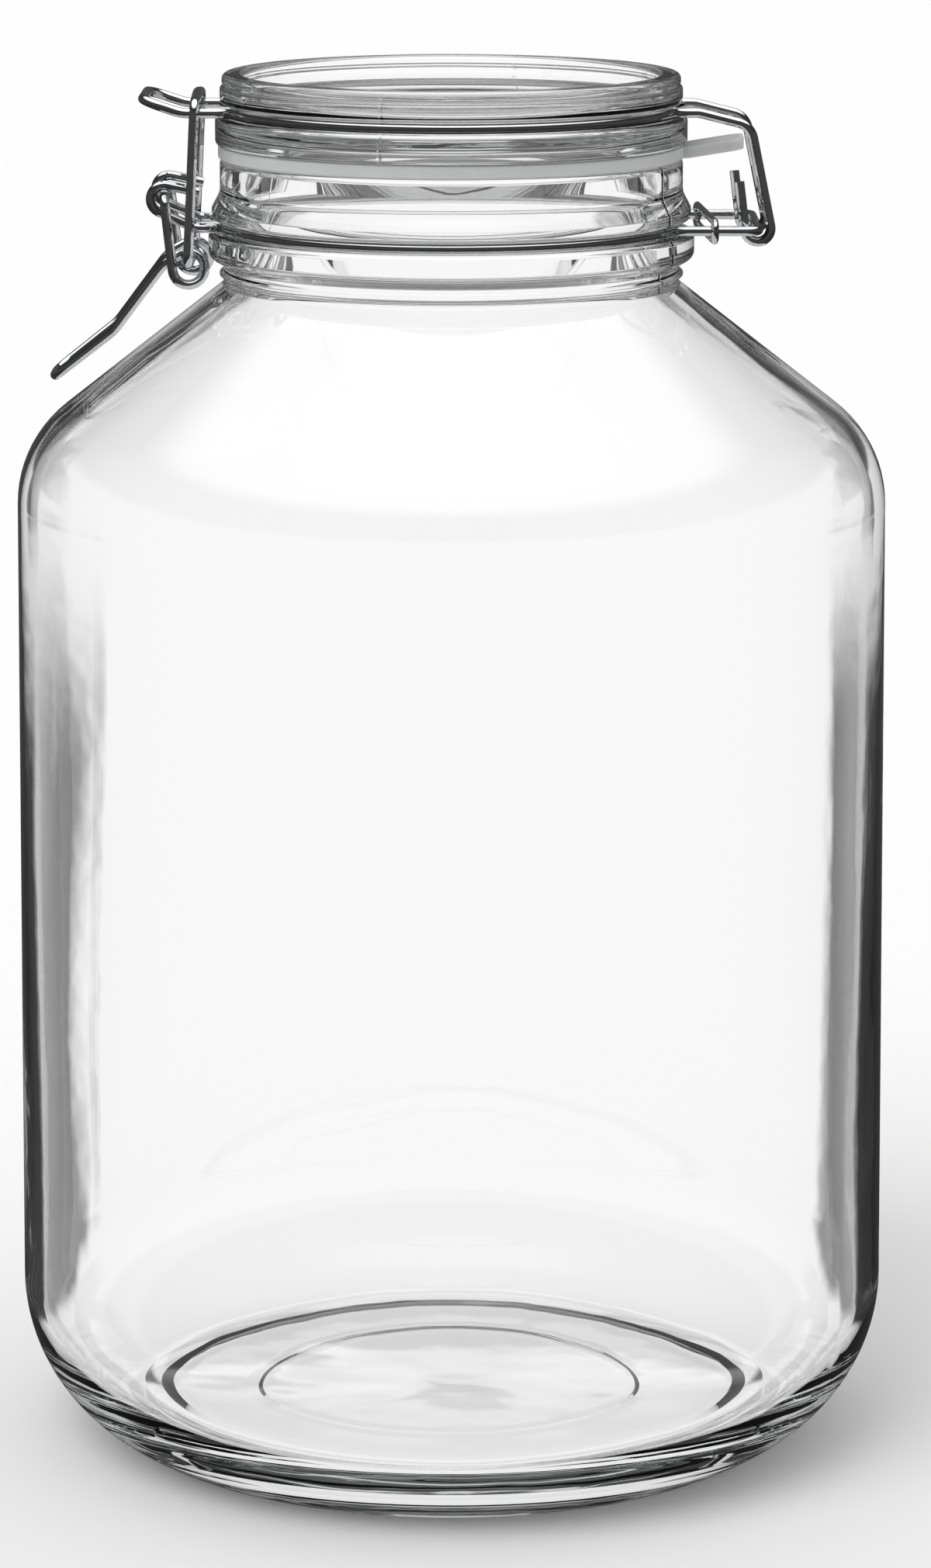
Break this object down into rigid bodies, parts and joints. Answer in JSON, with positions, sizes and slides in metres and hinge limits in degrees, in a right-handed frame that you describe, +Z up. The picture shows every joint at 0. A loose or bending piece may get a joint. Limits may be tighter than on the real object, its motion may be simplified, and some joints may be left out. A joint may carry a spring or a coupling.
{
  "type": "wire-bail preserving jar",
  "caption": "Large clear glass preserving jar with a hinged glass lid, rubber gasket and a bent-wire bail clasp with an over-centre lever.",
  "frame": {"origin": "centre of the base, on the surface that the jar stands on", "axes": "+Z up along the jar's axis, -X towards the clasp, +X towards the lid's hinge, Y along the hinge axis"},
  "size_m": [0.1796, 0.1796, 0.2831],
  "materials": {
    "clear_glass": "clear pressed soda glass",
    "milky_rubber": "translucent white silicone",
    "bright_wire": "bright drawn steel wire"
  },
  "bodies": {
    "jar": {"jar_body": "clear_glass", "neck_wire": "bright_wire", "tie_ring": "bright_wire"},
    "lid": {"lid": "clear_glass", "gasket": "milky_rubber", "lid_wire": "bright_wire"},
    "lever": {"lever": "bright_wire"},
    "link": {"clamp_link": "bright_wire"}
  },
  "joints": [
    {"name": "lid_hinge", "type": "hinge", "parent": "jar", "child": "lid", "pos_m": [0.0616, 0, 0.2527], "axis": [0, 1, 0], "range_deg": [0, 170]},
    {"name": "lever_pivot", "type": "hinge", "parent": "jar", "child": "lever", "pos_m": [-0.0576, 0, 0.259], "axis": [0, 1, 0], "range_deg": [0, 110], "deforming": ["clamp_link"]},
    {"name": "link_swing", "type": "hinge", "parent": "lever", "child": "link", "pos_m": [-0.05284, 0, 0.2456], "axis": [0, 1, 0], "range_deg": [-121, 0]}
  ],
  "couplings": [
    {"joint": "link_swing", "follows": "lever_pivot", "ratio": -1.1}
  ]
}
